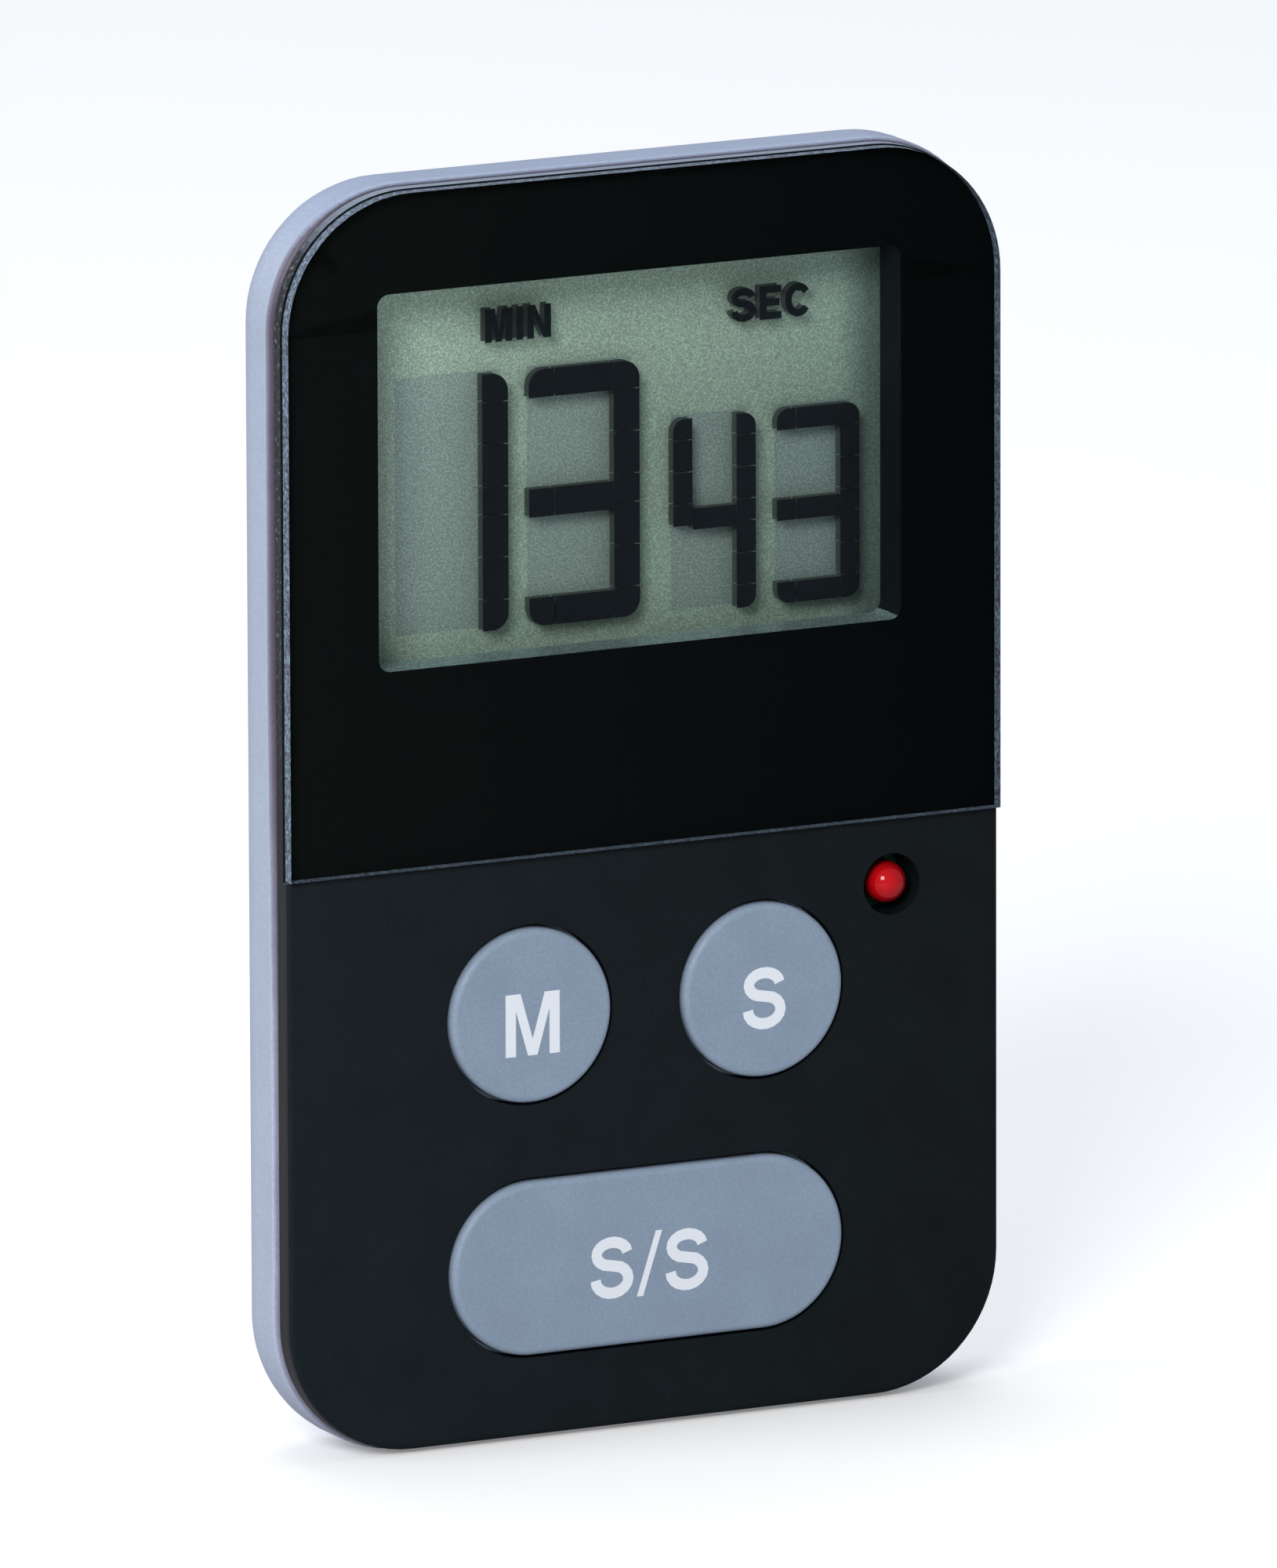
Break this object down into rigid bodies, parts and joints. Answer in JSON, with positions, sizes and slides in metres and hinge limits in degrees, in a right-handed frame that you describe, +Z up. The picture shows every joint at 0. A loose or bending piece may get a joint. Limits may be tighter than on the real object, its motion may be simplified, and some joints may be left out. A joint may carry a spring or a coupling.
{
  "type": "darkroom countdown timer",
  "caption": "Slim upright battery countdown timer with a minutes-and-seconds liquid-crystal display behind a black-framed window, round and long push keys, a signal lamp and a fold-out stand.",
  "frame": {"origin": "centre of the bounding box in plan, at the lowest edge of the case", "axes": "+Z up the case, +Y from the display towards the back, +X to the right as the display is read"},
  "size_m": [0.056, 0.0094, 0.09],
  "materials": {
    "dark_plastic": "moulded, fine spark texture, satin",
    "pale_plastic": "moulded, satin, faint lavender tint",
    "key_plastic": "moulded, satin, blue-grey, white printed letters",
    "clear_acrylic": "clear, polished faces, sawn edges frosted",
    "black_print": "screen-printed gloss black seen through the window plate",
    "black_tape": "thin adhesive tape",
    "keypad_rubber": "moulded silicone, matt",
    "carbon_print": "conductive carbon, matt",
    "display_film": "polarising film, green-grey",
    "display_glass": "thin float glass",
    "display_reflector": "pearly green-grey reflector film",
    "grey_foam": "open-cell foam",
    "flex_film": "amber film with printed tracks",
    "board_green": "glass-fibre board with green solder mask",
    "black_resin": "cured epoxy drop",
    "chip_tan": "fired ceramic with tinned ends",
    "chip_black": "thick-film resistor with tinned ends",
    "display_ink": "switched-on display segments",
    "white_print": "screen-printed white letters",
    "red_lens": "diffused red epoxy",
    "tinned_wire": "tinned copper, bright",
    "steel": "drawn or turned steel",
    "screw_steel": "blackened steel",
    "cell_steel": "nickel-plated steel can",
    "contact_nickel": "nickel-plated spring strip",
    "magnet_nickel": "nickel-plated, bright",
    "buzzer_brass": "rolled brass",
    "white_ceramic": "piezo ceramic with silvered face",
    "red_insulation": "PVC wire insulation",
    "black_insulation": "PVC wire insulation"
  },
  "bodies": {
    "case": {"buzzer_ceramic": "white_ceramic", "buzzer_plate": "buzzer_brass", "buzzer_wire_black": "black_insulation", "buzzer_wire_red": "red_insulation", "case_screws": "screw_steel", "cell_can": "cell_steel", "cell_cap": "cell_steel", "chip_blob": "black_resin", "chip_capacitors": "chip_tan", "chip_resistors": "chip_black", "contact_minus": "contact_nickel", "contact_plus": "contact_nickel", "dome_m": "keypad_rubber", "dome_s": "keypad_rubber", "dome_ss": "keypad_rubber", "front_case": "dark_plastic", "heat_seal_flex": "flex_film", "key_contact_pads": "carbon_print", "keypad_mat": "keypad_rubber", "lcd_foam_pads": "grey_foam", "lcd_front_glass": "display_glass", "lcd_front_polariser": "display_film", "lcd_gasket": "keypad_rubber", "lcd_rear_glass": "display_glass", "lcd_reflector": "display_reflector", "led": "red_lens", "led_leads": "tinned_wire", "magnets": "magnet_nickel", "pcb": "board_green", "pcb_screws": "steel", "plate_print": "black_print", "plate_tape": "black_tape", "quartz_crystal": "steel", "rear_case": "pale_plastic", "stand_pins": "steel", "window_plate": "clear_acrylic"},
    "key_m": {"button_m": "key_plastic", "carbon_pill_m": "carbon_print"},
    "key_s": {"button_s": "key_plastic", "carbon_pill_s": "carbon_print"},
    "key_ss": {"button_ss": "key_plastic", "carbon_pill_ss": "carbon_print"},
    "stand_leg": {"stand": "pale_plastic"},
    "door": {"battery_door": "pale_plastic"}
  },
  "joints": [
    {"name": "press_m", "type": "slide", "parent": "case", "child": "key_m", "axis": [0, 1, 0], "range_m": [0, 0.0006], "stiffness_N_per_m": 1200, "springref_m": -0.0002, "deforming": ["dome_m"]},
    {"name": "press_s", "type": "slide", "parent": "case", "child": "key_s", "axis": [0, 1, 0], "range_m": [0, 0.0006], "stiffness_N_per_m": 1200, "springref_m": -0.0002, "deforming": ["dome_s"]},
    {"name": "press_ss", "type": "slide", "parent": "case", "child": "key_ss", "axis": [0, 1, 0], "range_m": [0, 0.0006], "stiffness_N_per_m": 1200, "springref_m": -0.0002, "deforming": ["dome_ss"]},
    {"name": "stand_swing", "type": "hinge", "parent": "case", "child": "stand_leg", "pos_m": [0, 0.00365, 0.049], "axis": [1, 0, 0], "range_deg": [0, 40]},
    {"name": "door_turn", "type": "hinge", "parent": "case", "child": "door", "pos_m": [0, 0.0043, 0.031], "axis": [0, 1, 0], "range_deg": [0, 40]}
  ]
}
